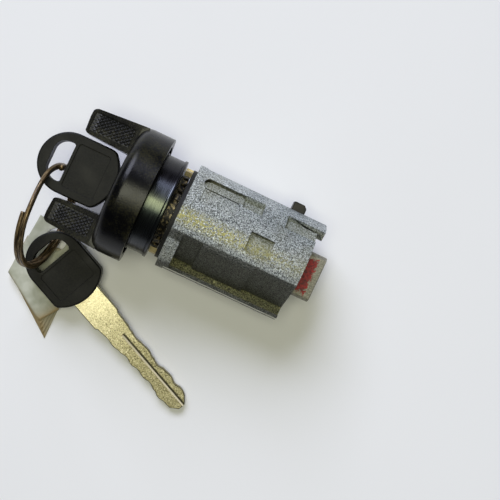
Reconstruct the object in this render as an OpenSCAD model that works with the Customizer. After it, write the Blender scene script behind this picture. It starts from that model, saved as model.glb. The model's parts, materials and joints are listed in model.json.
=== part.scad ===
// Key-operated ignition lock cylinder lying on a bench with its key in the lock.
// A split ring through the key's head carries a spare key and a folded paper tag.
// Lock pieces are drawn about the lock axis: x runs from the knob to the drive tang,
// and x = 0 is the front face of the die-cast housing. lying() then tips them by the
// small angle at which the wide knob and the narrower housing rest on a flat bench.

/* [Housing] */
// Outer radius of the housing's pads
barrel_r = 15.5; // [14.5:0.1:17]
// Length of the housing along the lock axis
barrel_len = 37.5; // [36:0.5:44]
// Length of the full-round land at the front
land_len = 2.2; // [1.5:0.1:3]
// How far the front land stands proud of the pads
land_proud = 0.2; // [0.1:0.05:0.4]
// Depth of the shallow cored pockets
pocket_depth = 1.2; // [0.6:0.1:1.6]
// Depth of the long flat down the key-ring side
recess_depth = 3.0; // [2:0.1:3.4]
// How far the side rail runs past the housing's rear end
rail_over = 2; // [1:0.1:3]
// Side of the square retainer pin
pin_side = 4.0; // [3:0.1:4.6]
// How far the retainer pin stands out of the housing
pin_out = 2.4; // [1.5:0.1:2.6]
// Distance of the retainer pin from the housing's rear end
pin_from_rear = 7; // [5:0.5:9]

/* [Rotor] */
// Radius of the rotor
rotor_r = 9.4; // [8.8:0.1:10]
// Radial running clearance of the rotor in the housing
run_clear = 0.05; // [0.02:0.01:0.1]
// Number of tumblers
tumbler_count = 6; // [4:1:7]
// Distance between tumblers
tumbler_pitch = 3.6; // [3.2:0.1:3.8]
// Thickness of a tumbler
tumbler_t = 1.5; // [1:0.1:1.8]
// Width of the drive tang
tang_w = 13.7; // [12:0.1:14.5]
// Thickness of the drive tang
tang_t = 8.4; // [6:0.1:9.5]
// Length of the drive tang behind the housing
tang_len = 6.2; // [4:0.1:9]

/* [Front gap] */
// Open gap between the collar and the housing
front_gap = 3.6; // [3.2:0.1:4.4]
// Thickness of the contact carrier on the housing's front face
carrier_t = 1.2; // [0.8:0.1:1.4]
// Number of castellations on the detent ring
detent_teeth = 24; // [16:1:30]

/* [Knob] */
// Outer radius of the knob
knob_r = 19; // [18:0.1:21]
// Length of the knob's skirt
knob_len = 9.6; // [8.6:0.1:12]
// Rounding of the knob's front edge
knob_round = 3.2; // [2:0.1:3.6]
// Wall of the knob's skirt
knob_wall = 2.2; // [1.6:0.1:2.6]
// Outer radius of the collar behind the knob
collar_r = 14.5; // [13.8:0.1:15]
// Length of the collar
collar_len = 6; // [4:0.1:8]
// How far the two wings stand out in front of the knob
wing_len = 14.8; // [12:0.1:17]
// Clearance between the key's head and a wing at its root
wing_clear = 0.4; // [0.3:0.1:1.5]
// Thickness of a wing at its root
wing_root_t = 11; // [9:0.1:13]
// Thickness of a wing at its tip
wing_tip_t = 6.4; // [4:0.1:8]
// Depth of the grip panels in the wings
grip_depth = 0.4; // [0.2:0.1:0.6]

/* [Keys] */
// Width of a key blade
blade_w = 9; // [8:0.1:9.4]
// Thickness of a key blade
blade_t = 2.4; // [2:0.1:2.6]
// Length of a blade outside its head
blade_len = 43.5; // [42:0.5:48]
// Width of a key head
head_w = 17.8; // [16:0.1:18.2]
// Length of a key head
head_len = 23.2; // [21:0.1:25]
// Thickness of a key head
head_t = 5.2; // [4.6:0.1:5.4]
// Width of the ring slot in a key head
slot_w = 5.3; // [5:0.1:5.6]
// Length of the ring slot across a key head
slot_len = 11.8; // [11:0.1:12.2]
// Wall between the ring slot and the end of the head
slot_bar = 3.3; // [3:0.1:4]
// Number of cuts along each edge of a blade
cut_count = 11; // [7:1:12]
// Distance between the cuts
cut_pitch = 2.6; // [2.3:0.1:2.7]

/* [Ring and tag] */
// Outer radius of the split ring
ring_r = 16; // [15.5:0.1:16.5]
// Radial thickness of the ring's wire
ring_wire = 1.7; // [1.3:0.1:1.8]
// Axial thickness of one turn of the ring
ring_turn = 1.2; // [0.9:0.1:1.3]
// Thickness of the tag's paper
paper_t = 0.3; // [0.2:0.05:0.4]
// Height of the folded tag
tag_h = 2.8; // [2:0.1:3]

/* [Hidden] */
$fn = 96;
// Gap left where pieces of one body are pushed together
fit_gap = 0.05;
// Gap between pieces that pass each other
pass_gap = 0.3;
// Overshoot of a cut beyond the face it opens
over = 1;

// Places along the lock axis
collar_x0 = -front_gap - collar_len;
knob_face_x = collar_x0 - knob_len;
plate_t = 0.8;
plate_r = 7;
shoulder_x = knob_face_x - pass_gap;
keyway_end_x = shoulder_x + blade_len + 0.6;
clip_t = 0.9;
clip_seat = 1.4;
rotor_end_x = barrel_len + 0.1;
pin_x = barrel_len - pin_from_rear;
tumbler_x0 = 3;
tumbler_half_z = 3.4;
tenon = 5;
tenon_len = 4;

// Lying on the bench
lie_tilt = atan((knob_r - barrel_r) / (barrel_len - collar_x0));
bench_z = -knob_r * cos(lie_tilt) - collar_x0 * sin(lie_tilt);

// Housing
bore_r = rotor_r + run_clear;
land_r = barrel_r + land_proud;
pocket_r = barrel_r - pocket_depth;
recess_angle = -55;
recess_x0 = 3.6;
recess_front_end = recess_x0 + 6;
recess_rear_start = barrel_len - 12.5;
recess_extra = 0.6;
ledge_z = 4.4;
ledge_lip = 0.8;
rail_from = 57;
rail_to = 92;
rail_depth = 3;
boss_r = 2.4;
boss_first = 5.5;
boss_pitch = 9.5;
boss_last = 4.5;
boss_xs = [boss_first, boss_first + boss_pitch, barrel_len - boss_last];
pin_hole = pin_side + 0.2;
pin_foot = barrel_r - 2.9;
spring_seat = bore_r + 0.6;
pin_bore_r = 1.25;
pin_bore_depth = 3.4;

groove_angle = 48;
groove_half = 2.1;
groove_x = land_len + 0.6 + groove_half;
groove_end = 15.5;
// Cored pockets: start and end angle, start and end along the axis, extra depth
pockets = [
    [38, 57, groove_end - 0.5, groove_end + 5.5, 0.8],
    [37, 57, barrel_len - 9.5, barrel_len + over, 0.2],
    [-4, 17, barrel_len - 17.4, barrel_len - 10.4, 0],
    [22, 40, land_len + 1.4, groove_end - 1.5, 0.4 - pocket_depth],
    [118, 150, land_len + 2.8, groove_end + 0.5, 0],
    [118, 140, barrel_len - 15.5, barrel_len - 6.5, 0],
    [160, 200, groove_end - 1.5, barrel_len - 11.5, 0],
    [212, 246, land_len + 2.8, land_len + 10.8, 0],
    [210, 240, barrel_len - 15.5, barrel_len - 4.5, 0]];

// Contacts
tooth_share = 0.328;
tooth_r = rotor_r + (barrel_r - rotor_r) * tooth_share;
tooth_floor = (rotor_r + tooth_r) / 2;
contact_gap = 0.5;
contact_w = 1.4;
contact_angles = [-72, 69, 96];
contact_r = tooth_r + contact_gap;
carrier_r = contact_r + contact_w + 0.2;
carrier_in_r = bore_r + 0.8;

// Knob
wing_out_y = knob_r - 0.6;
wing_in_y = head_w / 2 + wing_clear;
wing_w = wing_out_y - wing_in_y;
wing_tip_x = knob_face_x - wing_len;
wing_root_x = knob_face_x + 2;
wing_taper = 4;
wing_taper_in = 2.7;
wing_round = 1.8;
grip_tip = 1.2;
grip_root = 1;
grip_edge = 1.5;
grip_out = 1.8;
skirt_hollow = 4.4;
hub_r = collar_r + 0.4;
collar_lip = 0.4;
collar_lip_len = 0.9;

// Key
slot_x = -head_len + slot_bar;
slot_round = 3.6;
slot_corner = 0.9;
head_round = head_w / 2;
bow_x = -head_len + head_round;
shoulder_arc = 12.2;
shoulder_round = 2.2;
panel_side = 2.4;
panel_bow = 0.9;
panel_end = 4.2;
panel_sink = 0.35;
tang_in_head = 9;
root_len = 8.6;
root_step = 0.5;
cut_start = blade_len - 4.2 - (cut_count - 1) * cut_pitch;
cut_flat = 1.0;
upper_cuts = [0.2, 0.6, 0.9, 0.6, 0.4, 0.9, 1.3, 0.6, 0.4, 1.0, 0.5, 1.1];
lower_cuts = [0.4, 0.2, 0.6, 1.1, 0.7, 1.2, 0.9, 1.4, 0.9, 0.4, 0.9, 1.2];
groove_w = 0.9;
groove_side = 0.3;
groove_sink = 0.5;
blade_groove_x = cut_start + 2;
tip_half = 1.1;

// Split ring, standing on the bench in the key's slot
ring_tilt = -10;
ring_yaw = 4;
ring_mid_r = ring_r - ring_wire / 2;
ring_z = bench_z + ring_r * cos(ring_tilt) - ring_turn * sin(ring_tilt) + 0.05;
key_slot_x = shoulder_x + slot_x + slot_w / 2;
key_slot_z = -key_slot_x * sin(lie_tilt);
ring_enter = [key_slot_x * cos(lie_tilt) + 0.5, -2.2];
ring_rise = (key_slot_z - ring_z) / cos(ring_tilt);
ring_xy = ring_enter - ring_offset(ring_rise, 1);
// Level offset from the ring's centre to the middle of its wire at a rise, on one side
function ring_offset(rise, side) = let (p = side * sqrt(pow(ring_mid_r, 2) - pow(rise, 2)))
    [rise * sin(ring_tilt) * cos(ring_yaw) - p * sin(ring_yaw),
     rise * sin(ring_tilt) * sin(ring_yaw) + p * cos(ring_yaw)];
// Place of the wire on its far side at a height above the bench
function ring_far(h) = ring_xy + ring_offset((bench_z + h - ring_z) / cos(ring_tilt), -1);

// Spare key on the ring
spare_turn = -24.9;
spare_slot_h = 7;
spare_drop = asin((spare_slot_h - blade_t / 2) / (blade_len - slot_x - slot_w / 2));
spare_slot = ring_far(spare_slot_h);
spare_shift = [-0.8, 0.3];
spare_side = 2.2;
spare_reach = slot_w / 2 - ring_turn - 0.2;

// Tag
tag_near_x = 8.9;
tag_near_y = 8.6;
tag_far_x = 9.9;
tag_far_y = 22.7;
tag_fold_a = [spare_slot[0] - tag_near_x, spare_slot[1] - tag_near_y];
tag_fold_b = [spare_slot[0] + tag_far_x, spare_slot[1] - tag_far_y];
tag_turn = atan2(tag_fold_b[1] - tag_fold_a[1], tag_fold_b[0] - tag_fold_a[0]);
tag_hole = ring_far(tag_h) + [0, 1];
tag_hole_r = 3.5;
tag_low_y = tag_hole[1] + tag_hole_r - 0.6;
tag_top_y = tag_hole[1] + tag_hole_r + 2.4;
tag_top_drop = 2;
tag_spill = 10;
tag_under = 4;
tag_leaf = 34;

// Tips the lock from its own axis to where it lies on the bench
module lying() {
    rotate([0, lie_tilt, 0]) children();
}

// Solid cylinder about the lock axis from x0 to x1
module round_bar(x0, x1, r) {
    translate([x0, 0, 0]) rotate([0, 90, 0]) cylinder(r = r, h = x1 - x0);
}

// Ring about the lock axis from x0 to x1
module round_ring(x0, x1, r_out, r_in) {
    difference() {
        round_bar(x0, x1, r_out);
        round_bar(x0 - over, x1 + over, r_in);
    }
}

// Sector of a ring about the lock axis, angles counted from the top towards +y
module sector(a0, a1, x0, x1, r_in, r_out) {
    translate([x0, 0, 0]) rotate([0, 90, 0]) rotate([0, 0, 180 - a1])
        rotate_extrude(angle = a1 - a0) translate([r_in, 0]) square([r_out - r_in, x1 - x0]);
}

// Turns a shape drawn upright at the top to another angle about the lock axis
module around(a) {
    rotate([-a, 0, 0]) children();
}

// Rectangle with rounded corners, from its low corner
module rounded_rect(x0, y0, w, h, r) {
    translate([x0 + r, y0]) square([w - 2 * r, h]);
    translate([x0, y0 + r]) square([w, h - 2 * r]);
    for (x = [x0 + r, x0 + w - r], y = [y0 + r, y0 + h - r])
        translate([x, y]) circle(r);
}

// Points of a wire wound on a helix about the y axis
function coil_point(r, pitch, a) = [r * cos(a), pitch * a / 360, r * sin(a)];

// Closed wire of round section wound on a helix about the y axis
module coil(r, wire_r, pitch, turns, steps, sides) {
    count = turns * steps;
    ring = [for (i = [0:count], j = [0:sides - 1])
        let (a = 360 * i / steps, b = 360 * j / sides)
        coil_point(r + wire_r * cos(b), pitch, a) + [0, wire_r * sin(b), 0]];
    walls = [for (i = [0:count - 1], j = [0:sides - 1])
        let (k = (j + 1) % sides)
        [i * sides + j, i * sides + k, (i + 1) * sides + k, (i + 1) * sides + j]];
    first = [for (j = [sides - 1:-1:0]) j];
    last = [for (j = [0:sides - 1]) count * sides + j];
    polyhedron(ring, concat(walls, [first, last]));
}

// Die-cast sleeve that carries the rotor, with cored pockets left between its pads
module housing() {
    color("#9a9d9c") lying() difference() {
        union() {
            round_bar(0, land_len, land_r);
            round_bar(0, barrel_len, barrel_r);
            sector(rail_from, rail_to, barrel_len - over, barrel_len + rail_over,
                barrel_r - rail_depth, barrel_r);
        }
        round_bar(-over, barrel_len + over, bore_r);
        round_bar(barrel_len - clip_seat, barrel_len + over, rotor_r + 2.4);
        housing_pockets();
        housing_recess();
        housing_bosses_cut();
        translate([pin_x - pin_hole / 2, spring_seat, -pin_hole / 2])
            cube([pin_hole, barrel_r, pin_hole]);
    }
}

// Shallow cored pockets and steps between the pads, and the round-ended groove beside the top
module housing_pockets() {
    out_r = barrel_r + over;
    around(groove_angle) translate([0, 0, pocket_r]) linear_extrude(pocket_depth + over) {
        translate([groove_x, 0]) circle(groove_half);
        translate([groove_x, -groove_half]) square([groove_end - groove_x, 2 * groove_half]);
    }
    for (p = pockets) sector(p[0], p[1], p[2], p[3], pocket_r - p[4], out_r);
}

// Long flat down the side, in three steps, that ends below in a ledge with a raised lip
module housing_recess() {
    side = 2 * barrel_r;
    end = barrel_len + over;
    intersection() {
        union() {
            side_flat(recess_x0, end, 0);
            side_flat(recess_x0, recess_front_end, recess_extra);
            side_flat(recess_rear_start, end, recess_extra);
        }
        union() {
            translate([0, -side, ledge_z + ledge_lip]) cube([end, side, side]);
            intersection() {
                translate([0, -side, ledge_z]) cube([end, side, side]);
                round_bar(0, end, barrel_r - ledge_lip);
            }
        }
    }
}

// Block beyond the side's flat from x0 to x1, cutting a little deeper by extra
module side_flat(x0, x1, extra) {
    around(recess_angle) translate([x0, -barrel_r, barrel_r - recess_depth - extra])
        cube([x1 - x0, 2 * barrel_r, recess_depth + extra + over]);
}

// Relief on the side that leaves three round bosses standing
module housing_bosses_cut() {
    difference() {
        sector(-101, -83, recess_x0, barrel_len + over, barrel_r - 0.8, barrel_r + over);
        for (x = boss_xs)
            around(-92) translate([x, 0, 0]) cylinder(r = boss_r, h = barrel_r + 2 * over);
    }
}

// Moulded ring on the housing's front face that holds the contact pins
module contact_carrier() {
    color("#1b1b1c") lying() round_ring(-carrier_t, 0, carrier_r, carrier_in_r);
}

// Brass pins of the key warning contact, across the open gap
module contact_pins() {
    color("#b08d4a") lying() for (a = contact_angles)
        around(a) translate([-front_gap + pass_gap, -contact_w / 2, contact_r])
            cube([front_gap - pass_gap - carrier_t, contact_w, contact_w]);
}

// Sprung pin that locks the housing into the steering column
module retainer_pin() {
    y1 = barrel_r + pin_out;
    lead = 0.9;
    color("#6b5a3c") lying() difference() {
        translate([pin_x - pin_side / 2, pin_foot, -pin_side / 2])
            cube([pin_side, y1 - pin_foot, pin_side]);
        translate([pin_x, pin_foot - over, 0]) rotate([-90, 0, 0])
            cylinder(r = pin_bore_r, h = pin_bore_depth + over);
        translate([pin_x + pin_side / 2, y1 - lead, 0]) rotate([0, 0, 45])
            translate([0, -over, -pin_side]) cube([pin_side, pin_side, 2 * pin_side]);
    }
}

// Coil spring under the retainer pin
module retainer_spring() {
    wire_r = 0.2;
    turns = 5;
    length = pin_foot + pin_bore_depth - spring_seat - 2 * wire_r - 0.1;
    color("#8b8f93") lying() translate([pin_x, spring_seat + wire_r + 0.05, 0])
        coil(pin_bore_r - wire_r - 0.15, wire_r, length / turns, turns, 12, 6);
}

// Plug that the key turns, with its keyway and tumbler slots
module rotor() {
    half_w = blade_w / 2 + 0.15;
    half_t = blade_t / 2 + 0.15;
    color("#a8a494") lying() difference() {
        round_bar(knob_face_x + plate_t, rotor_end_x, rotor_r);
        translate([knob_face_x, -half_w, -half_t])
            cube([keyway_end_x - knob_face_x, 2 * half_w, 2 * half_t]);
        for (i = [0:tumbler_count - 1])
            tumbler_block(i, tumbler_t + 0.2, tumbler_half_z + 0.1);
        round_ring(barrel_len - clip_seat + 0.2, barrel_len - clip_seat + 0.2 + clip_t + 0.1,
            rotor_r + over, rotor_r - 1.1);
        translate([rotor_end_x - tenon_len - 0.2, -tenon / 2 - fit_gap, -tenon / 2 - fit_gap])
            cube([tenon_len + over, tenon + 2 * fit_gap, tenon + 2 * fit_gap]);
    }
}

// Space of one tumbler through the rotor, of thickness t
module tumbler_block(i, t, half_z) {
    translate([tumbler_x0 + i * tumbler_pitch - t / 2, -rotor_r - over, -half_z])
        cube([t, 2 * (rotor_r + over), 2 * half_z]);
}

// Flat tumblers lined up by the key, flush with the rotor
module tumblers() {
    half_w = blade_w / 2 + 0.2;
    half_t = blade_t / 2 + 0.2;
    color("#b79a55") lying() difference() {
        intersection() {
            for (i = [0:tumbler_count - 1]) tumbler_block(i, tumbler_t, tumbler_half_z);
            round_bar(0, barrel_len, rotor_r - 0.2);
        }
        translate([0, -half_w, -half_t]) cube([barrel_len, 2 * half_w, 2 * half_t]);
    }
}

// Castellated ring on the rotor, seen in the open gap
module detent_ring() {
    x0 = -front_gap + 0.2;
    x1 = -carrier_t - pass_gap;
    color("#7c6b45") lying() difference() {
        round_ring(x0, x1, tooth_r, rotor_r + fit_gap);
        for (i = [0:detent_teeth - 1])
            around(360 / detent_teeth * i)
                translate([x0 + 0.6, -0.6, tooth_floor]) cube([x1 - x0, 1.2, 3]);
    }
}

// Open retaining ring in the rotor's rear groove
module rear_clip() {
    x0 = barrel_len - clip_seat + 0.2 + fit_gap;
    color("#55585a") lying() difference() {
        round_ring(x0, x0 + clip_t, rotor_r + 1.6, rotor_r - 1.05);
        translate([x0 - over, -3, 0]) cube([clip_t + 2 * over, 6, barrel_r]);
    }
}

// Flat-sided tail that drives the switch behind the lock
module drive_tang() {
    color("#b9b5a0") lying() {
        intersection() {
            round_bar(rotor_end_x, rotor_end_x + tang_len, tang_w / 2 + 0.6);
            translate([rotor_end_x, -tang_w / 2, -tang_t / 2]) cube([tang_len, tang_w, tang_t]);
        }
        translate([rotor_end_x - tenon_len, -tenon / 2, -tenon / 2])
            cube([tenon_len + 0.5, tenon, tenon]);
    }
}

// Polished collar between the knob and the gap
module collar() {
    inner = rotor_r + fit_gap;
    color("#2a2a2e") lying() translate([-front_gap, 0, 0]) rotate([0, -90, 0]) rotate_extrude() {
        translate([inner, 0]) square([collar_r - inner, collar_len]);
        translate([inner, 0]) square([collar_r + collar_lip - inner, collar_lip_len]);
    }
}

// Round knob with a hollow skirt and two wings that straddle the key
module knob() {
    color("#1d1d1f") lying() difference() {
        union() {
            translate([collar_x0, 0, 0]) rotate([0, -90, 0]) rotate_extrude() knob_profile();
            for (side = [0, 1]) mirror([0, side, 0]) wing();
        }
        round_bar(knob_face_x + plate_t - over, collar_x0 + over, rotor_r + fit_gap);
        round_bar(knob_face_x - over, knob_face_x + plate_t, plate_r + fit_gap);
        round_ring(collar_x0 - skirt_hollow, collar_x0 + over, knob_r - knob_wall, hub_r);
    }
}

// Half section of the knob's skirt with its rounded front edge
module knob_profile() {
    square([knob_r, knob_len - knob_round]);
    square([knob_r - knob_round, knob_len]);
    translate([knob_r - knob_round, knob_len - knob_round]) circle(knob_round);
}

// One wing: a plan with round corners, thinning towards its tip, with a grip panel each side
module wing() {
    length = wing_root_x - wing_tip_x;
    slope = atan((wing_root_t - wing_tip_t) / 2 / wing_len);
    difference() {
        intersection() {
            translate([0, 0, -wing_root_t]) linear_extrude(2 * wing_root_t) intersection() {
                translate([knob_face_x, wing_out_y]) rotate(wing_taper)
                    rounded_rect(-wing_len, -2 * wing_w, 2 * length, 2 * wing_w, wing_round);
                translate([knob_face_x, wing_in_y]) rotate(-wing_taper_in)
                    rounded_rect(-wing_len, 0, 2 * length, 2 * wing_w, wing_round);
                translate([wing_tip_x - over, 0]) square([length + over, knob_r]);
            }
            translate([0, knob_r, 0]) rotate([90, 0, 0]) linear_extrude(knob_r) polygon([
                [wing_tip_x, -wing_tip_t / 2], [knob_face_x, -wing_root_t / 2],
                [wing_root_x, -wing_root_t / 2], [wing_root_x, wing_root_t / 2],
                [knob_face_x, wing_root_t / 2], [wing_tip_x, wing_tip_t / 2]]);
        }
        for (face = [0, 1]) mirror([0, 0, face])
            translate([wing_tip_x, 0, wing_tip_t / 2 - grip_depth]) rotate([0, -slope, 0])
                linear_extrude(over) rounded_rect(grip_tip, wing_in_y + grip_edge,
                    wing_len - grip_tip - grip_root, wing_w - grip_edge - grip_out, 0.6);
    }
}

// Small plate round the keyway, let into the knob's face
module keyway_plate() {
    half_w = blade_w / 2 + 0.2;
    half_t = blade_t / 2 + 0.2;
    color("#6d7072") lying() difference() {
        round_bar(knob_face_x, knob_face_x + plate_t, plate_r);
        translate([knob_face_x - over, -half_w, -half_t])
            cube([plate_t + 2 * over, 2 * half_w, 2 * half_t]);
    }
}

// Outline of one cut edge, from inside the head to the tip, at half width h
function cut_edge(h, depths) = concat(
    [[-tang_in_head, h], [root_len, h], [root_len + root_step, h - root_step]],
    [for (i = [0:cut_count - 1], s = [-1, 1])
        [cut_start + i * cut_pitch + s * cut_flat / 2, h - root_step - depths[i]]],
    [[blade_len - 2.2, h - root_step - 1], [blade_len, tip_half]]);

// Cut key blade lying along x, with its root inside the head and a groove on each face
module blade() {
    half = blade_w / 2;
    upper = cut_edge(half, upper_cuts);
    lower = [for (p = cut_edge(half, lower_cuts)) [p[0], -p[1]]];
    difference() {
        translate([0, 0, -blade_t / 2]) linear_extrude(blade_t)
            polygon(concat(upper, [for (i = [len(lower) - 1:-1:0]) lower[i]]));
        for (face = [0, 1]) mirror([0, 0, face])
            translate([blade_groove_x, groove_side, blade_t / 2 - groove_sink])
                cube([blade_len, groove_w, over]);
    }
}

// Points of an arc about a centre, from one angle to another
function arc(centre, r, a0, a1, steps) =
    [for (i = [0:steps]) centre + r * [cos(a0 + (a1 - a0) * i / steps), sin(a0 + (a1 - a0) * i / steps)]];

// Outline of a key head: a round bow, straight sides and a shoulder that bulges to the blade
module head_outline() {
    fillet_y = head_w / 2 - shoulder_round;
    reach = sqrt(pow(shoulder_arc - shoulder_round, 2) - pow(fillet_y, 2));
    fillet_x = reach - shoulder_arc;
    turn = atan2(fillet_y, reach);
    translate([bow_x, 0]) circle(head_round);
    polygon(concat([[bow_x, -head_w / 2]],
        arc([fillet_x, -fillet_y], shoulder_round, -90, -turn, 6),
        arc([-shoulder_arc, 0], shoulder_arc, -turn * 11 / 12, turn * 11 / 12, 22),
        arc([fillet_x, fillet_y], shoulder_round, turn, 90, 6),
        [[bow_x, head_w / 2]]));
}

// Ring slot: straight towards the shoulder, round towards the bow
module slot_outline() {
    half = slot_len / 2;
    intersection() {
        translate([slot_x, -half]) square([slot_w, slot_len]);
        union() {
            translate([slot_x + slot_round, -half])
                square([slot_w - slot_round - slot_corner, slot_len]);
            translate([slot_x, slot_round - half]) square([slot_round, slot_len - 2 * slot_round]);
            translate([slot_x + slot_round, slot_corner - half])
                square([slot_w - slot_round, slot_len - 2 * slot_corner]);
            for (side = [-1, 1]) {
                translate([slot_x + slot_round, side * (half - slot_round)]) circle(slot_round);
                translate([slot_x + slot_w - slot_corner, side * (half - slot_corner)])
                    circle(slot_corner);
            }
        }
    }
}

// Moulded head with a ring slot, a bare sunk panel on each face and a socket for the blade
module head() {
    panel_x = slot_x + slot_w + panel_bow;
    difference() {
        translate([0, 0, -head_t / 2]) linear_extrude(head_t) difference() {
            head_outline();
            slot_outline();
        }
        for (face = [0, 1]) mirror([0, 0, face])
            translate([0, 0, head_t / 2 - panel_sink]) linear_extrude(over)
                rounded_rect(panel_x, panel_side - head_w / 2, -panel_end - panel_x,
                    head_w - 2 * panel_side, 0.8);
        translate([-tang_in_head - fit_gap, -blade_w / 2 - fit_gap, -blade_t / 2 - fit_gap])
            cube([tang_in_head + over, blade_w + 2 * fit_gap, blade_t + 2 * fit_gap]);
    }
}

// Puts a key in the lock, pushed home
module in_lock() {
    lying() translate([shoulder_x, 0, 0]) children();
}

// Lays a key on the bench, its slot held up on the ring and its tip down
module on_ring() {
    at = spare_slot + spare_shift;
    translate([at[0], at[1], bench_z + spare_slot_h])
        rotate([0, 0, spare_turn]) rotate([0, spare_drop, 0])
            translate([-slot_x - slot_w / 2 + spare_reach, spare_side, 0]) children();
}

module key_blade() { color("#b5ab88") in_lock() blade(); }
module key_head() { color("#1e1e1f") in_lock() head(); }
module spare_blade() { color("#c9bd92") on_ring() blade(); }
module spare_head() { color("#1e1e1f") on_ring() head(); }

// Split ring: two turns of flat wire lying side by side, the second with its ends apart
module split_ring() {
    seam = 0.12;
    inner = ring_r - ring_wire;
    open_angle = 25;
    color("#6e5c45") translate([ring_xy[0], ring_xy[1], ring_z]) rotate([0, ring_tilt, ring_yaw])
        rotate([0, 90, 0]) difference() {
            rotate_extrude() difference() {
                translate([inner, -ring_turn]) square([ring_wire, 2 * ring_turn]);
                for (r = [inner, ring_r])
                    translate([r, 0]) rotate(45) square(2 * seam, center = true);
            }
            rotate([0, 0, 115]) rotate_extrude(angle = open_angle)
                translate([inner - over, seam]) square([ring_wire + 2 * over, ring_turn]);
        }
}

// Paper tag folded double under the spare key, with a hole for the ring
module tag() {
    run = norm(tag_fold_b - tag_fold_a) + 2 * tag_spill;
    color("#cfc7b2") difference() {
        intersection() {
            translate([tag_fold_a[0], tag_fold_a[1], bench_z]) rotate([0, 0, tag_turn])
                translate([-tag_spill, 0, 0]) rotate([90, 0, 90])
                    linear_extrude(run) tag_profile();
            translate([0, 0, bench_z - over]) linear_extrude(tag_h + 2 * over) polygon([
                tag_fold_a - [0, tag_under], tag_fold_b - [0, tag_under],
                [tag_fold_b[0], tag_top_y - tag_top_drop],
                [tag_fold_a[0], tag_top_y]]);
        }
        translate([tag_hole[0], tag_hole[1], bench_z - over])
            cylinder(r = tag_hole_r, h = tag_h + 2 * over);
        translate([tag_fold_a[0] - over, tag_low_y, bench_z - over])
            cube([tag_leaf, tag_leaf, tag_h / 2 + over]);
    }
}

// Section across the fold: two leaves joined by a round bend
module tag_profile() {
    r = tag_h / 2;
    difference() {
        union() {
            translate([r, r]) circle(r);
            translate([r, 0]) square([tag_leaf, tag_h]);
        }
        translate([r, r]) circle(r - paper_t);
        translate([r, paper_t]) square([tag_leaf + over, tag_h - 2 * paper_t]);
    }
}

housing();
contact_carrier();
contact_pins();
retainer_pin();
retainer_spring();
rotor();
tumblers();
detent_ring();
rear_clip();
drive_tang();
collar();
knob();
keyway_plate();
key_blade();
key_head();
split_ring();
spare_blade();
spare_head();
tag();
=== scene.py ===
# %% [markdown]
# # An ignition lock cylinder on a bench
# The lock lies on its side, with its key pushed home. A split ring through the key's head
# carries a spare key and a folded paper tag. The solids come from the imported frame, in
# metres, and this lesson gives them edges, grain, wear and paper.

# %% Load the frame and keep its box
import json
import math

import bpy
import bmesh
import numpy as np
from mathutils import Matrix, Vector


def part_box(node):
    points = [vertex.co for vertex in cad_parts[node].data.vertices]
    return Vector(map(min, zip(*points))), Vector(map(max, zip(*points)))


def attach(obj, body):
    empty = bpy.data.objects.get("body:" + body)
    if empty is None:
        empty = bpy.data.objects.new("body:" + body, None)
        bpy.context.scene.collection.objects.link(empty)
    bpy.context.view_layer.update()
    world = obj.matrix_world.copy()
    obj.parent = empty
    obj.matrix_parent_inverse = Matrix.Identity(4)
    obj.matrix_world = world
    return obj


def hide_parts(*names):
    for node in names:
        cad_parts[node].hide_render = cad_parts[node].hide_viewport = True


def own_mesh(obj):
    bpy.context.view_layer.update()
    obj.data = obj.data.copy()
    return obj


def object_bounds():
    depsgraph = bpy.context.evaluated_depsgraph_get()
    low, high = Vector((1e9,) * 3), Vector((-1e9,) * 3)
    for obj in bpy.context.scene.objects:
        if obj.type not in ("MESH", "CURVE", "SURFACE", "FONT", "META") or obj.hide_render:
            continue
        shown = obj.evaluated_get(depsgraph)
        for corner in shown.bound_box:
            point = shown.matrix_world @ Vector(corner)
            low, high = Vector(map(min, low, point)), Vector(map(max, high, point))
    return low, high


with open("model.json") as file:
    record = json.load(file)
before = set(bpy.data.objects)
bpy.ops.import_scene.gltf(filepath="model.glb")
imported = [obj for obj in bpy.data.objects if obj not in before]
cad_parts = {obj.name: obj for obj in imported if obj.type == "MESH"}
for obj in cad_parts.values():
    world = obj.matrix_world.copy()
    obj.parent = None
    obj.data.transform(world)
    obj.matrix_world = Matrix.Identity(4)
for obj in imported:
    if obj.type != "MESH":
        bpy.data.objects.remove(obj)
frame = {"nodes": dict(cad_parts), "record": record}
cad_box = [[float(v) for v in corner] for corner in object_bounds()]
MM = 0.001
print("CAD box in mm:", np.round(np.array(cad_box) / MM, 2).tolist())

# %% [markdown]
# The lock is tipped by a few degrees, because the wide knob and the narrower housing both
# touch the bench. Its own axes are easier to think in: x along the lock from the front of
# the housing, y to the side, z up through the top. The frame's record holds the axis that
# the rotor turns about, so the lock's axes are read from there and not measured again.

# %% The lock's own axes
joints = {j["name"]: j for j in frame["record"]["behaviour"]["joints"]}
along = np.array(joints["rotor_turn"]["axis"], float)
along /= np.linalg.norm(along)
across = np.array([0.0, 1.0, 0.0])
upward = np.cross(along, across)
lock_axes = np.array([along, across, upward])
bench_z = cad_box[0][2]


def in_lock(points_mm):
    """Points in the lock's axes, in mm, become frame points: the sum of x, y and z times its axes."""
    return np.asarray(points_mm, float) @ lock_axes * MM


print("lock tips by", round(math.degrees(math.asin(-along[2])), 2), "degrees, bench at z",
      round(bench_z / MM, 2), "mm")

# %% [markdown]
# ## The camera
# The photograph looks almost straight down. The lock's axis runs to the right and 25 degrees
# down in the picture, so the camera is turned by that angle about the vertical. Its height
# sets how much larger the top of the knob looks than the bench, and the lens then fits the
# frame. An image of 500 by 500 pixels is square, so the sensor's width fixes both sides.

# %% Camera over the bench
VIEW_TURN = math.radians(25.2)
CAMERA_HEIGHT = 290 * MM
CAMERA_OVER = (22.8 * MM, -0.3 * MM)
BENCH_SEEN = 152.5 * MM
SENSOR = 36.0

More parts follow.
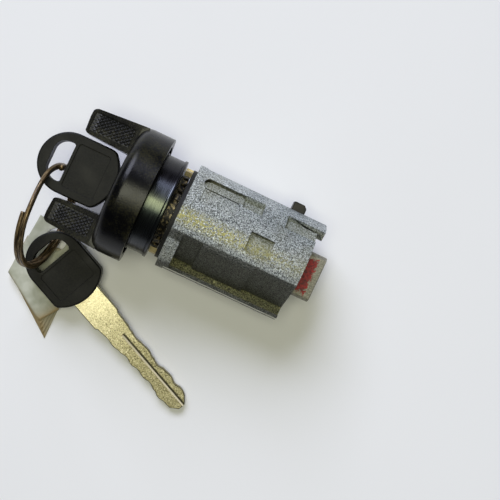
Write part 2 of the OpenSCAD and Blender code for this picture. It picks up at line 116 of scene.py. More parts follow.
camera_data = bpy.data.cameras.new("bench_camera")
camera_data.sensor_width = SENSOR
camera_data.lens = SENSOR * CAMERA_HEIGHT / BENCH_SEEN
camera_data.clip_start = 0.01
camera = bpy.data.objects.new("bench_camera", camera_data)
camera.location = (*CAMERA_OVER, bench_z + CAMERA_HEIGHT)
camera.rotation_euler = (0.0, 0.0, VIEW_TURN)
bpy.context.scene.collection.objects.link(camera)
bpy.context.scene.camera = camera
picture_right = np.array([math.cos(VIEW_TURN), math.sin(VIEW_TURN), 0.0])
picture_up = np.array([-math.sin(VIEW_TURN), math.cos(VIEW_TURN), 0.0])
print("lens", round(camera_data.lens, 1), "mm")

# %% [markdown]
# ## Small helpers
# Every finish below is a node tree, so one function adds a node, sets it and links it, and a
# few short ones name the steps that come back in every finish. Colours are written the way a
# picture editor shows them, as sRGB hex, and become linear light once.


# %% Colours and nodes
def linear(hex_colour):
    """sRGB hex to linear RGBA: divide by 12.92 near black, else ((c + 0.055) / 1.055) ^ 2.4."""
    c = np.array([int(hex_colour[i:i + 2], 16) for i in (1, 3, 5)]) / 255
    c = np.where(c <= 0.04045, c / 12.92, ((c + 0.055) / 1.055) ** 2.4)
    return (*c.tolist(), 1.0)


def add(material, kind, settings=None, inputs=None):
    """Adds one shader node, sets its properties, and sets or links its inputs."""
    tree = material.node_tree
    node = tree.nodes.new("ShaderNode" + kind)
    for name, value in (settings or {}).items():
        setattr(node, name, value)
    for name, value in (inputs or {}).items():
        if isinstance(value, bpy.types.NodeSocket):
            tree.links.new(value, node.inputs[name])
        else:
            node.inputs[name].default_value = value
    return node


def new_material(name):
    """An empty node material with its output, its surface shader and the object's coordinates."""
    material = bpy.data.materials.new(name)
    material.use_nodes = True
    material.node_tree.nodes.clear()
    shader = add(material, "BsdfPrincipled")
    add(material, "OutputMaterial", None, {"Surface": shader.outputs[0]})
    place = add(material, "TexCoord").outputs["Object"]
    return material, shader, place


def surface(material, shader, values):
    """Sets or links the surface shader's inputs by name."""
    for name, value in values.items():
        if isinstance(value, bpy.types.NodeSocket):
            material.node_tree.links.new(value, shader.inputs[name])
        else:
            shader.inputs[name].default_value = value


# %% Patterns, spans and blends
def noise(material, place, size_mm, detail=2.0, rough=0.5):
    """Cloudy noise from 0 to 1 whose features are about size_mm wide, on coordinates in metres."""
    return add(material, "TexNoise", None, {"Vector": place, "Scale": 1 / (size_mm * MM),
                                            "Detail": detail, "Roughness": rough}).outputs["Fac"]


def span(material, value, low, high, to_low=0.0, to_high=1.0):
    """A value carried from the span low to high into another span, and held at its ends."""
    return add(material, "MapRange", None, {"Value": value, "From Min": low, "From Max": high,
                                            "To Min": to_low, "To Max": to_high}).outputs[0]


def maths(material, operation, *values):
    """One arithmetic step on numbers or sockets."""
    return add(material, "Math", {"operation": operation}, dict(enumerate(values))).outputs[0]


def product(material, first, *others):
    """Numbers or sockets multiplied together."""
    for other in others:
        first = maths(material, "MULTIPLY", first, other)
    return first


def away(material, value, middle):
    """How far a value lies from a middle, either way."""
    return maths(material, "ABSOLUTE", maths(material, "SUBTRACT", value, middle))


def blend(material, factor, first, second):
    """A colour between two, each a hex colour or a socket."""
    first, second = (linear(c) if isinstance(c, str) else c for c in (first, second))
    return add(material, "Mix", {"data_type": "RGBA"}, {"Factor": factor, 6: first, 7: second}).outputs[2]


def relief(material, height, depth_mm, strength=0.5):
    """A normal that makes the height look depth_mm deep."""
    return add(material, "Bump", None, {"Strength": strength, "Distance": depth_mm * MM,
                                        "Height": height}).outputs[0]


def lock_place(material, place):
    """The lock's own x, y and z of the shaded point, in mm: the point times each axis."""
    found = []
    for axis in lock_axes:
        dot = add(material, "VectorMath", {"operation": "DOT_PRODUCT"}, {0: place, 1: tuple(axis / MM)})
        found.append(dot.outputs["Value"])
    return found


print("helpers ready")

# %% [markdown]
# ## Bench and light
# Two lights explain the photograph. A large cool window stands beyond the top of the picture:
# it whitens every surface that leans up the picture and leaves the lower sides black. A warm
# ceiling lamp hangs over the camera: it alone reaches the shadows, which are olive for that
# reason, and it draws the yellowish band along the crest of every round piece. The room is dark.

# %% Pale bench
BENCH_SIZE = 6.0
BENCH_GAP = 0.02 * MM


def bench_paint():
    """Smooth painted board: a pale neutral grey that drifts a little in brightness."""
    material, shader, place = new_material("painted_board")
    drift = noise(material, place, 90)
    surface(material, shader, {"Base Color": blend(material, drift, "#e6e6e6", "#ebebeb"), "Roughness": 0.6})
    return material


bench_mesh = bpy.data.meshes.new("bench")
corner = BENCH_SIZE / 2
bench_drop = bench_z - BENCH_GAP
bench_mesh.from_pydata([(-corner, -corner, bench_drop), (corner, -corner, bench_drop),
                        (corner, corner, bench_drop), (-corner, corner, bench_drop)], [], [(0, 1, 2, 3)])
bench = bpy.data.objects.new("bench", bench_mesh)
bench.data.materials.append(bench_paint())
bpy.context.scene.collection.objects.link(bench)


# %% Window, lamp and dark room
def soft_panel(name, toward, distance, size, watts, colour):
    """A square area light at a distance along a direction, turned to face the middle of the lock."""
    toward = np.asarray(toward, float)
    toward = toward / np.linalg.norm(toward)
    data = bpy.data.lights.new(name, "AREA")
    data.size = size
    data.energy = watts
    data.color = colour
    panel = bpy.data.objects.new(name, data)
    panel.location = toward * distance
    x_dir = np.cross((0.0, 1.0, 0.0), toward)
    x_dir /= np.linalg.norm(x_dir)
    y_dir = np.cross(toward, x_dir)
    panel.rotation_euler = Matrix(np.stack([x_dir, y_dir, toward], 1).tolist()).to_euler()
    bpy.context.scene.collection.objects.link(panel)


ROOM_COLOUR, ROOM_GLOW = (0.9, 0.95, 1.0, 1.0), 0.04
overhead = np.array([0.0, 0.0, 1.0])
window_way = 0.76 * picture_up - 0.12 * picture_right + 0.66 * overhead
lamp_way = overhead - 0.04 * picture_up
soft_panel("window", window_way, distance=5.0, size=3.1, watts=275.0, colour=(0.79, 0.82, 1.0))
soft_panel("ceiling_lamp", lamp_way, distance=0.95, size=0.42, watts=3.9, colour=(1.0, 1.0, 0.78))
world = bpy.data.worlds.new("dark_room")
world.use_nodes = True
background = world.node_tree.nodes["Background"]
background.inputs["Color"].default_value = ROOM_COLOUR
background.inputs["Strength"].default_value = ROOM_GLOW
bpy.context.scene.world = world
bpy.context.scene.view_settings.view_transform = "Standard"
print("bench and light set")

# %% [markdown]
# ## Finishes: the metals
# The housing is pressure die-cast zinc, left as it came from the mould: dull mid grey, with a
# sandy skin, small bright specks painted in as glints, dark pits, and faint olive patches of old
# grease. Light and shade are painted into each region, so the regions are found from the lock's
# own angle and radius: the pockets keep a little grease and painted shade, the side flat and the
# low side are painted black as shade, the ledge is painted a darker olive as shade with a painted
# highlight along its rubbed lip, the crest has a painted yellow highlight where the lamp reflects,
# and the rail side is rubbed and painted a darker blue-grey as shade. A photograph of grain could
# be wrapped on it, but noise has no seams.


# %% Where things are on the housing
# Each pair is where a share starts and where it is full, in degrees from the top or in mm.
POCKET_R = (15.25, 14.5)
SIDE_START, SIDE_END = (-13, -15), (-78, -74)
FLAT_WAY, FLAT_DEPTH = math.radians(55), (13.7, 13.3)
LEDGE_Z, LEDGE_R = (4.8, 4.5), (15.2, 14.9)
LIP_R, LIP_HALF = 15.25, (0.4, 0.25)
LOW_MIDDLE, LOW_HALF = -96, (43, 34)
CREST_MIDDLE, CREST_HALF, CREST_X = 2, (12, 0), (34, 16)
RAIL_ANGLE, RAIL_X = (14, 34), (8, 20)


def housing_regions(material, place):
    """Each region's share from 0 to 1, by angle from the top, radius and depth towards the side flat."""
    x, y, z = lock_place(material, place)
    r = maths(material, "SQRT", maths(material, "MULTIPLY_ADD", y, y, product(material, z, z)))
    angle = product(material, maths(material, "ARCTAN2", y, z), 180 / math.pi)
    toward_flat = maths(material, "MULTIPLY_ADD", y, -math.sin(FLAT_WAY),
                        product(material, z, math.cos(FLAT_WAY)))
    side = product(material, span(material, angle, *SIDE_START), span(material, angle, *SIDE_END))
    under_flat = product(material, side, span(material, z, *LEDGE_Z))
    return {
        "set_back": span(material, r, *POCKET_R),
        "flat": product(material, side, span(material, toward_flat, *FLAT_DEPTH)),
        "ledge": product(material, under_flat, span(material, r, *LEDGE_R)),
        "lip": product(material, under_flat, span(material, away(material, r, LIP_R), *LIP_HALF)),
        "low_side": span(material, away(material, angle, LOW_MIDDLE), *LOW_HALF),
        "crest": product(material, span(material, x, *CREST_X, 0.35, 1.0),
                         span(material, away(material, angle, CREST_MIDDLE), *CREST_HALF)),
        "rail": product(material, span(material, angle, *RAIL_ANGLE), span(material, x, *RAIL_X))}


# %% Die-cast zinc
SAND_MM, FLECK_MM, PIT_MM, CLOUD_MM = 0.36, 0.45, 0.55, 8


# The last argument scales the painted shade and painted highlights by region, and the pockets' grease tint.
def die_cast_zinc(name, dark, light, painted_light_and_grease):
    """As-cast zinc: sandy grain near 0.4 mm, flecks painted as glints, pits, greasy patches, and by region
    of the housing painted shade, painted highlights and a greasy tint in the pockets.
    """
    material, shader, place = new_material(name)
    region = housing_regions(material, place)
    sand = span(material, noise(material, place, SAND_MM, 4.0, 0.8), 0.42, 0.58)
    flecks = add(material, "TexVoronoi", None, {"Vector": place, "Scale": 1 / (FLECK_MM * MM)})
    pits = noise(material, place, PIT_MM)
    cloud = noise(material, place, CLOUD_MM, 3.0)
    skin = blend(material, sand, dark, light)
    # Rail side: rubbed wear together with painted shade, a darker blue-grey in cloudy patches.
    rubbed = product(material, region["rail"], span(material, cloud, 0.3, 0.6, 0.15, 0.65))
    skin = blend(material, rubbed, skin, blend(material, sand, "#2c3336", "#8e9ba1"))
    # Painted glints: near-white flecks of the sandy skin.
    skin = blend(material, span(material, flecks.outputs["Distance"], 0.28, 0.1, 0.0, 0.75), skin, "#fbfdf8")
    skin = blend(material, span(material, pits, 0.57, 0.68, 0.0, 0.75), skin, "#363a36")
    skin = blend(material, span(material, cloud, 0.5, 0.72, 0.0, 0.3), skin, "#86825c")
    # Painted highlight: a speckled yellow band along the crest, where the ceiling lamp reflects.
    crest_highlight = product(material, region["crest"], painted_light_and_grease, span(material, pits, 0.4, 0.56))
    skin = blend(material, crest_highlight, skin, "#cdc672")
    # Pockets set back from the skin: an olive tint that is partly grease and partly painted shade.
    skin = blend(material, product(material, region["set_back"], 0.35 * painted_light_and_grease), skin, "#8a8960")
    # Painted shade: the side flat and the low side, which face away from the window, are painted near black.
    black = product(material, maths(material, "MAXIMUM", region["flat"], region["low_side"]), painted_light_and_grease)
    skin = blend(material, black, skin, blend(material, sand, "#232420", "#5c5d53"))
    # Painted shade: the ledge under the side flat is painted a darker olive, like shade lit only by the warm
    # lamp.
    olive = product(material, region["ledge"], painted_light_and_grease)
    skin = blend(material, olive, skin, blend(material, sand, "#2e2f20", "#85845a"))
    # Painted highlight: a near-white thin line along the ledge's rubbed lip.
    skin = blend(material, product(material, region["lip"], 1.05 * painted_light_and_grease), skin, "#f4f5e4")
    surface(material, shader, {
        "Base Color": skin, "Metallic": 0.45, "Roughness": span(material, sand, 0, 1, 0.6, 0.36),
        "Normal": relief(material, sand, 0.12, 0.7)})
    return material


zinc = die_cast_zinc("die_cast_zinc", "#424745", "#e2e8e5", 0.9)
# Pocket walls: the same zinc painted much darker, as shade.
zinc_shaded_wall = die_cast_zinc("die_cast_zinc_shaded_wall", "#23251f", "#63655a", 0.9)
# Bevelled edges: rubbed brighter, with a painted highlight.
zinc_highlit_rubbed_edge = die_cast_zinc("die_cast_zinc_highlit_rubbed_edge", "#8f948e", "#f2f5ee", 0.2)
plain_zinc = die_cast_zinc("die_cast_zinc_inner", "#6a6a60", "#aeada0", 0.0)
print("die-cast zinc made")

# %% [markdown]
# The other metals differ in colour, in how fine their grain is and in how far tarnish has
# gone, so one recipe with a few real sizes serves them all. The contacts are brass, the
# castellated ring is dark bronze and the retainer pin is blacked steel.


# %% Worn metals
def worn_metal(name, clean, tarnished, grain_mm, patch_mm, tarnish, rough, metallic=0.9):
    """Handled metal: fine grain, and darker tarnish that gathers in patches."""
    material, shader, place = new_material(name)
    grain = noise(material, place, grain_mm, 3.0, 0.6)
    patch = noise(material, place, patch_mm, 3.0)
    mixed = maths(material, "MULTIPLY_ADD", grain, 0.6, patch)
    age = span(material, mixed, 0.98 - 0.5 * tarnish, 1.22 - 0.5 * tarnish)
    surface(material, shader, {
        "Base Color": blend(material, age, clean, tarnished), "Metallic": metallic,
        "Roughness": span(material, grain, 0, 1, rough - 0.12, rough + 0.14),
        "Normal": relief(material, grain, 0.05, 0.35)})
    return material


brass = worn_metal("brass_contact", "#c4b487", "#54482c",
                   grain_mm=0.4, patch_mm=2, tarnish=0.3, rough=0.36, metallic=0.8)
dark_bronze = worn_metal("dark_bronze", "#8a7d5e", "#0c0a07",
                         grain_mm=0.5, patch_mm=0.9, tarnish=0.85, rough=0.42, metallic=0.6)
black_oxide = worn_metal("steel_black_oxide", "#1d1a16", "#090807",
                         grain_mm=0.3, patch_mm=2, tarnish=0.5, rough=0.42, metallic=0.5)
spring_steel = worn_metal("spring_steel", "#8e9296", "#5a5c5e",
                          grain_mm=0.3, patch_mm=3, tarnish=0.3, rough=0.35)
print("worn metals made")

# %% [markdown]
# Key blades are nickel silver, a pale yellowish brass. The part near the head is polished by
# pockets and painted brighter as a reflection of the window, and the cut part is dulled by the
# lock and its grease, so the finish changes along the blade. The blade's own ends, along its
# direction, are measured on its solid. Each blade has four finishes: its faces, its edges painted
# darker as shade, the floor of its groove painted dark as shade, and the one wall of the groove
# that catches the window, painted pale as a highlight.


# %% Nickel silver blades
# How far back from the tip the blade is at its brightest, and how far back at its dullest
BRIGHT_BACK, DULL_BACK = 44 * MM, 12 * MM
BLADE_GRAIN, BLADE_PATCH = 0.42, 3.5


def nickel_silver(node, direction, place_name, tint, share, metallic):
    """Grainy nickel silver: bright near the head, partly polish and partly a painted reflection, greyer
    along the cuts, a share of one tint over all.
    """
    material, shader, place = new_material("nickel_silver_%s_%s" % (node, place_name))
    tip = (np.array([v.co for v in frame["nodes"][node].data.vertices]) @ direction).max()
    reach = add(material, "VectorMath", {"operation": "DOT_PRODUCT"}, {0: place, 1: tuple(direction)})
    towards_tip = span(material, reach.outputs["Value"], tip - BRIGHT_BACK, tip - DULL_BACK)
    grain = noise(material, place, BLADE_GRAIN, 4.0, 0.8)
    patch = noise(material, place, BLADE_PATCH, 3.0)
    # Wear and painted reflection: worn is low near the head, where the blade is painted paler as the
    # window's reflection, and high along the cuts.
    worn = maths(material, "MULTIPLY_ADD", patch, 0.5, towards_tip)
    colour = blend(material, span(material, worn, 0.2, 1.0), "#d2c9a6", "#a79f77")
    pitted = product(material, span(material, grain, 0.51, 0.59), span(material, worn, 0.2, 0.8, 0.25, 0.9))
    colour = blend(material, pitted, colour, "#40391f")
    colour = blend(material, span(material, grain, 0.44, 0.34, 0.0, 0.7), colour, "#fff8dc")
    colour = blend(material, share, colour, tint)
    surface(material, shader, {
        "Base Color": colour, "Metallic": metallic, "Roughness": span(material, worn, 0.2, 1.2, 0.3, 0.5),
        "Normal": relief(material, grain, 0.09, 0.6)})
    return material


SPARE_TURN = math.radians(-24.9)
spare_along = np.array([math.cos(SPARE_TURN), math.sin(SPARE_TURN), 0.0])
# Place, tint, the tint's share and how metallic it is, in the order of the finishes on the mesh
# The dark tint on the edges and the groove's floor is painted shade; the pale tint on the groove's lit wall
# is a painted highlight.
BLADE_PLACES = (("face", "#1d1a0e", 0.0, 0.7), ("edge", "#1d1a0e", 0.6, 0.7),
                ("groove", "#1d1a0e", 0.9, 0.7), ("lit_wall", "#fff4cf", 0.8, 0.1))
blade_finish = {node: [nickel_silver(node, direction, *place) for place in BLADE_PLACES]
                for node, direction in (("key_blade", along), ("spare_blade", spare_along))}
print("nickel silver made")

# %% [markdown]
# The collar between knob and gap is plated black nickel. Its thin film tints the highlight:
# blue where it leans up the picture, green near the crest. A thin-film shader could work that
# out, but the tint is wanted at known angles, so a ramp over the angle about the axis gives it.


# %% Black nickel collar
TINTED_TO = math.radians(60)
MARKS_ALONG, MARKS_ROUND = 6.0, 2.5


def black_nickel():
    """Plated black with a highlight tinted by the angle about the lock's axis, and turning marks."""
    material, shader, place = new_material("black_nickel_plate")
    x, y, z = lock_place(material, place)
    angle = maths(material, "ARCTAN2", y, z)
    turned = span(material, angle, -TINTED_TO, TINTED_TO)
    tint = add(material, "ValToRGB", None, {"Fac": turned})
    stops = [(0.0, "#9aa0aa"), (0.42, "#86938e"), (0.53, "#eefadb"), (0.62, "#e8f2fa"),
             (0.7, "#dde6f5"), (0.78, "#8e8a94"), (1.0, "#56585c")]
    ramp = tint.color_ramp
    for at, colour in stops[1:-1]:
        ramp.elements.new(at).color = linear(colour)
    ramp.elements[0].color = linear(stops[0][1])
    ramp.elements[len(stops) - 1].color = linear(stops[-1][1])
    marks = add(material, "CombineXYZ", None, {"X": product(material, x, MARKS_ALONG),
                                               "Y": product(material, angle, MARKS_ROUND)}).outputs[0]
    lines = add(material, "TexNoise", None, {"Vector": marks, "Scale": 1.0, "Detail": 3.0}).outputs["Fac"]
    surface(material, shader, {
        "Base Color": linear("#08080a"), "IOR": 1.9, "Specular Tint": tint.outputs["Color"],
        "Roughness": span(material, lines, 0.3, 0.7, 0.2, 0.38)})
    return material


collar_plate = black_nickel()
print("black nickel made")

# %% [markdown]
# ## Finishes: the plastics
# The knob is a satin black moulding, rubbed smooth by fingers, so its gloss wanders and a
# little olive dust lies in its texture. The key heads are a duller black with a fine
# spark-eroded mould texture.


# %% Black plastics
def black_moulding(name, deep, dusty, texture_mm, relief_mm, rough_low, rough_high, dust_share, shine):
    """Moulded black plastic: fine mould texture, gloss that wanders over 6 mm, a veil of dust."""
    material, shader, place = new_material(name)
    texture = noise(material, place, texture_mm)
    wander = noise(material, place, 6)
    dust = span(material, product(material, texture, wander), 0.22, 0.42, 0.0, dust_share)
    surface(material, shader, {
        "Base Color": blend(material, dust, deep, dusty), "Specular IOR Level": shine,
        "Roughness": span(material, wander, 0.3, 0.7, rough_low, rough_high),
        "Normal": relief(material, texture, relief_mm, 0.3)})
    return material


knob_black = black_moulding("black_nylon_satin", "#050506", "#3c3a22",
                            texture_mm=0.45, relief_mm=0.09, rough_low=0.23, rough_high=0.34,
                            dust_share=0.45, shine=0.22)
grip_black = black_moulding("black_nylon_grip", "#131311", "#4a4836",
                            texture_mm=0.9, relief_mm=0.01, rough_low=0.34, rough_high=0.46,
                            dust_share=0.5, shine=0.4)
head_black = black_moulding("black_plastic_matt", "#090908", "#23231a",
                            texture_mm=0.45, relief_mm=0.09, rough_low=0.42, rough_high=0.56,
                            dust_share=0.5, shine=0.17)
carrier_black = black_moulding("black_contact_moulding", "#0e0e0d", "#2c2a20",
                               texture_mm=0.4, relief_mm=0.04, rough_low=0.5, rough_high=0.65,
                               dust_share=0.5, shine=0.3)
print("black plastics made")

# %% [markdown]
# ## Softened solids
# The frame's solids have knife-sharp edges, which no casting or moulding has. A copy of each
# solid is merged, because its triangles come loose, its flat faces are joined up again, and a
# bevel then rounds every edge sharper than a set angle. The bevel's own faces may take a
# second finish: on the housing a brighter edge, rubbed and with a painted highlight, and on a
# blade a darker edge of painted shade. A flat piece may also have a wider rounding round its
# outline, where fingers wear it.
#
# Some faces are found by their place in the shape and take a finish of their own: the walls of
# the housing's pockets, painted dark as shade, and the groove of a blade, whose floor is painted
# dark as shade and whose lit wall is painted pale as a highlight. One wall of the groove is
# sloped as well, because an upright wall can't be seen from above and the photograph shows it as
# a bright line.


# %% Merge, join flat faces, round the edges
GROOVE_SLOPE = 0.42
SUNK_DEPTH = 0.1
TOUCH = 0.01
OUTLINE_WAYS = 720
# Finish 2 is painted shade on the housing's pocket walls and a groove's floor; finish 3 is a painted
# highlight on the groove's lit wall.
WALL_FINISH, FLOOR_FINISH, LIT_FINISH = 2, 2, 3
SKIN_RADII, LIP_ANGLES = (13.9, 15.6), (66, 74)
MERGE_WITHIN, FLAT_WITHIN, SHARP_FROM = 0.001, 0.6, 28


def flat_ways(shell):
    """A flat piece's points and normals, and its three ways: two level ones, then the one through it."""
    points = np.array([v.co for v in shell.verts])
    normals = np.array([f.normal for f in shell.faces])
    areas = np.array([f.calc_area() for f in shell.faces])
    return points, normals, np.linalg.eigh((normals * areas[:, None]).T @ normals)[1]


def depth_in(points, way):
    """How deep each point lies under the nearer of the two outer faces that the way goes through."""
    height = points @ way
    return np.minimum(height - height.min(), height.max() - height)


def outline_edges(shell):
    """Edges round the outline of a flat piece: both ends furthest out in some direction in its plane."""
    points, _, ways = flat_ways(shell)
    turn = np.linspace(0, 2 * np.pi, OUTLINE_WAYS, endpoint=False)
    reach = points @ ways[:, :2] @ np.stack([np.cos(turn), np.sin(turn)])
    outer = (reach > reach.max(0) - TOUCH * MM).any(1)
    on_face = depth_in(points, ways[:, 2]) < TOUCH * MM
    return [e for e in shell.edges if all(outer[v.index] and on_face[v.index] for v in e.verts)]


def sunk_faces(shell):
    """Faces of a flat piece that lie level, but deeper than its two outer faces."""
    points, normals, ways = flat_ways(shell)
    inside = depth_in(points, ways[:, 2]) > SUNK_DEPTH * MM
    level = np.abs(normals @ ways[:, 2]) > 0.9
    return [f for f in shell.faces if level[f.index] and all(inside[v.index] for v in f.verts)]


def mark_groove(shell):
    """Marks the floor and the lit wall of a blade's groove, slopes that wall, and returns their edges."""
    kept = set()
    for floor in sunk_faces(shell):
        walls = {face for edge in floor.edges for face in edge.link_faces} - {floor}
        lit = max(walls, key=lambda face: face.calc_area() * float(np.array(face.normal) @ picture_up))
        floor.material_index = FLOOR_FINISH
        lit.material_index = LIT_FINISH
        slide = lit.normal.copy() * GROOVE_SLOPE * MM
        for vert in set(lit.verts) & set(floor.verts):
            vert.co += slide
        kept |= set(floor.edges) | set(lit.edges)
    return kept


def mark_pocket_walls(shell):
    """Marks faces in the housing's skin over 60 degrees off their spoke, save the ledge's lip, for the wall
    finish painted dark as shade.
    """
    for face in shell.faces:
        points = np.array([v.co for v in face.verts]) @ lock_axes.T / MM
        r = np.hypot(points[:, 1], points[:, 2])
        spoke = points.mean(0)[1:] / np.linalg.norm(points.mean(0)[1:])
        on_lip = LIP_ANGLES[0] < math.degrees(math.atan2(-spoke[0], spoke[1])) < LIP_ANGLES[1]
        across_spoke = abs((lock_axes @ np.array(face.normal))[1:] @ spoke) < math.cos(math.radians(60))
        if across_spoke and SKIN_RADII[0] < r.min() and r.max() < SKIN_RADII[1] and not on_lip:
            face.material_index = WALL_FINISH
    return set()


def softened(node, finishes, edge_mm, segments=2, rim_mm=None, mark=None, clamp=True):
    """A merged copy of a frame solid with rounded edges.

    Its finishes are those of its faces, of its edges and of what mark sets apart. mark also
    returns the edges that stay sharp. With clamp, the bevel narrows where edges lie close.
    """
    shell = bmesh.new()
    shell.from_mesh(frame["nodes"][node].data)
    bmesh.ops.remove_doubles(shell, verts=shell.verts, dist=MERGE_WITHIN * MM)
    bmesh.ops.dissolve_limit(shell, angle_limit=math.radians(FLAT_WITHIN),
                             verts=shell.verts, edges=shell.edges)
    shell.verts.index_update()
    shell.faces.index_update()
    weight = shell.edges.layers.float.new("bevel_weight_edge")
    kept_sharp = mark(shell) if mark else set()
    limit = math.radians(SHARP_FROM)
    widest = rim_mm or edge_mm
    for edge in shell.edges:
        sharp = len(edge.link_faces) == 2 and edge.calc_face_angle() > limit and edge not in kept_sharp
        edge[weight] = edge_mm / widest if sharp else 0.0
    for edge in outline_edges(shell) if rim_mm else []:
        edge[weight] = 1.0 if edge[weight] else 0.0
    for face in shell.faces:
        face.smooth = True
    for edge in kept_sharp:
        edge.smooth = False
    mesh = bpy.data.meshes.new(node + "_softened")
    shell.to_mesh(mesh)
    shell.free()
    for finish in finishes:
        mesh.materials.append(finish)
    piece = bpy.data.objects.new(node + "_softened", mesh)
    bpy.context.scene.collection.objects.link(piece)
    bevel = piece.modifiers.new("rounded_edges", "BEVEL")
    bevel.width = widest * MM
    bevel.segments = segments
    bevel.limit_method = "WEIGHT"
    bevel.use_clamp_overlap = clamp
    bevel.material = 1 if len(finishes) > 1 else -1
    weighted = piece.modifiers.new("even_shading", "WEIGHTED_NORMAL")
    weighted.keep_sharp = True
    print(node, "softened:", len(mesh.polygons), "faces before its bevel,",
          len(kept_sharp), "edges kept sharp")
    return piece


def finish_piece(piece, body, slot, *nodes):
    """Makes a piece ride on its body and stand for its solids, which are hidden; its slot is not used."""
    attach(piece, body)
    if nodes:
        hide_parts(*nodes)


# %% Housing
housing = softened("housing", [zinc, zinc_highlit_rubbed_edge, zinc_shaded_wall], 0.3, mark=mark_pocket_walls)
finish_piece(housing, "barrel", "cast_zinc", "housing")

# %% Knob, collar and key heads
finish_piece(softened("knob", [knob_black], 0.6, 3), "rotor", "black_plastic", "knob")
finish_piece(softened("collar", [collar_plate], 0.2), "rotor", "dark_chrome", "collar")
for node in ("key_head", "spare_head"):
    finish_piece(softened(node, [head_black], 0.12, 3, rim_mm=0.8), "key", "black_plastic", node)

# %% Blades and the retainer pin
for node in ("key_blade", "spare_blade"):
    blade = softened(node, blade_finish[node], 0.25, mark=mark_groove, clamp=False)
    finish_piece(blade, "key", "nickel_silver", node)
finish_piece(softened("retainer_pin", [black_oxide], 0.25), "retainer", "bronzed_steel", "retainer_pin")

# %% [markdown]
# ## Surfaces made from arrays
# What the solids leave flat is made here from whole arrays of points: a grid of points gives
# quads, and the grid's last column may join its first, as round a wire or a hole.


# %% Grids of points to closed pieces
def quads(rows, columns, close_columns=False):
    """Quads of a grid of points numbered row by row, whose last column may join the first."""
    i = np.arange(rows - 1)[:, None]
    j = np.arange(columns if close_columns else columns - 1)[None, :]
    j_next = (j + 1) % columns
    corners = [i * columns + j, (i + 1) * columns + j, (i + 1) * columns + j_next, i * columns + j_next]
    return np.stack(corners, -1).reshape(-1, 4)


def grid_rim(rows, columns):
    """The numbers of the points round an open grid, in order."""
    number = np.arange(rows * columns).reshape(rows, columns)
    return np.concatenate([number[0, :-1], number[:-1, -1], number[-1, :0:-1], number[:0:-1, 0]])


def piece_from(name, points_m, faces, finish, flat=False):
    """A mesh object at the origin from points in metres and faces, with its finish."""
    mesh = bpy.data.meshes.new(name)
    mesh.from_pydata(points_m.tolist(), [], [list(map(int, f)) for f in faces])
    mesh.polygons.foreach_set("use_smooth", [not flat] * len(mesh.polygons))
    mesh.materials.append(finish)
    piece = bpy.data.objects.new(name, mesh)
    bpy.context.scene.collection.objects.link(piece)
    print(name, "has", len(mesh.polygons), "faces")
    return piece


# %% [markdown]
# ## The grip on the wings
# Each wing has a sunk panel on both faces, filled with fine diamonds. A bump in the finish would
# keep a straight silhouette, so the diamonds are a real surface: the lower of two triangle
# waves that cross at an angle makes rows of small pyramids. They fade out near the tip, where
# thumbs have worn them down.

# %% Diamond grip patches
WING_TIP_X, WING_TIP_Z, WING_SLOPE = -34.0, 3.2, math.atan(2.3 / 14.8)
PANEL_SUNK = 0.4
PANEL_U, PANEL_Y = (1.35, 13.65), (10.95, 16.45)
DIAMOND_U, DIAMOND_Y, DIAMOND_RISE = 1.4, 1.1, 0.36
GRID_STEP = 0.1
TIP_BARE, TIP_FADE, TIP_LEAST = 0.6, 1.6, 0.15
SIDE_FADE, SIDE_LEAST = 0.5, 0.3
PANEL_CLEAR, RIM_DEPTH = 0.02, 0.1


def triangle_wave(t):
    """Rises from 0 to 1 and falls back within each whole step of t."""
    return 1 - np.abs(2 * (t % 1) - 1)


def grip_patch(side, face):
    """Height over the panel: the lower of two crossed triangle waves, faded in behind the tip."""
    u = np.linspace(*PANEL_U, round((PANEL_U[1] - PANEL_U[0]) / GRID_STEP) + 1)
    y = np.linspace(*PANEL_Y, round((PANEL_Y[1] - PANEL_Y[0]) / GRID_STEP) + 1)
    grid_u, grid_y = np.meshgrid(u, y, indexing="ij")
    one, other = grid_u / DIAMOND_U + grid_y / DIAMOND_Y, grid_u / DIAMOND_U - grid_y / DIAMOND_Y
    fade = np.clip((grid_u - PANEL_U[0] - TIP_BARE) / TIP_FADE, TIP_LEAST, 1)
    fade = fade * np.clip((grid_y - PANEL_Y[0]) / SIDE_FADE, SIDE_LEAST, 1)
    rise = PANEL_CLEAR + DIAMOND_RISE * fade * np.minimum(triangle_wave(one), triangle_wave(other))
    rise[[0, -1], :] = rise[:, [0, -1]] = -RIM_DEPTH
    x = WING_TIP_X + grid_u * math.cos(WING_SLOPE) - rise * math.sin(WING_SLOPE)
    z = WING_TIP_Z - PANEL_SUNK + grid_u * math.sin(WING_SLOPE) + rise * math.cos(WING_SLOPE)
    points = np.stack([x, side * grid_y, face * z], -1).reshape(-1, 3)
    faces = [*quads(u.size, y.size), grid_rim(u.size, y.size)]
    if side * face < 0:
        faces = [f[::-1] for f in faces]
    name = "grip_%s_%s" % ("left" if side > 0 else "right", "top" if face > 0 else "under")
    return piece_from(name, in_lock(points), faces, grip_black, flat=True)


for side in (1, -1):
    for face in (1, -1):
        finish_piece(grip_patch(side, face), "rotor", "black_plastic")

# %% [markdown]
# ## The split ring
# The solid ring is closed; the real one is a flat wire wound twice. One section is carried along
# the path, which starts at the top of the ring, runs once round, crosses over beside its own
# end and runs round again. The wire is browned, with paler streaks drawn along it, so each
# point also keeps its own coordinates: the length along the wire squeezed, the section as it is.

# %% Swept wire
RING_R, RING_WIRE, RING_TURN = 16.0, 1.7, 1.2
RING_TILT, RING_YAW = math.radians(-10), math.radians(4)
RING_FROM, RING_TO = math.radians(92), math.radians(738)
CROSS_FROM, CROSS_TO = math.radians(384), math.radians(446)
RING_STEPS, SECTION_STEPS = 420, 20
SECTION_POWER = 5
WIDE_CLEAR, THICK_CLEAR = 0.02, 0.03
STREAK_STRETCH = 14


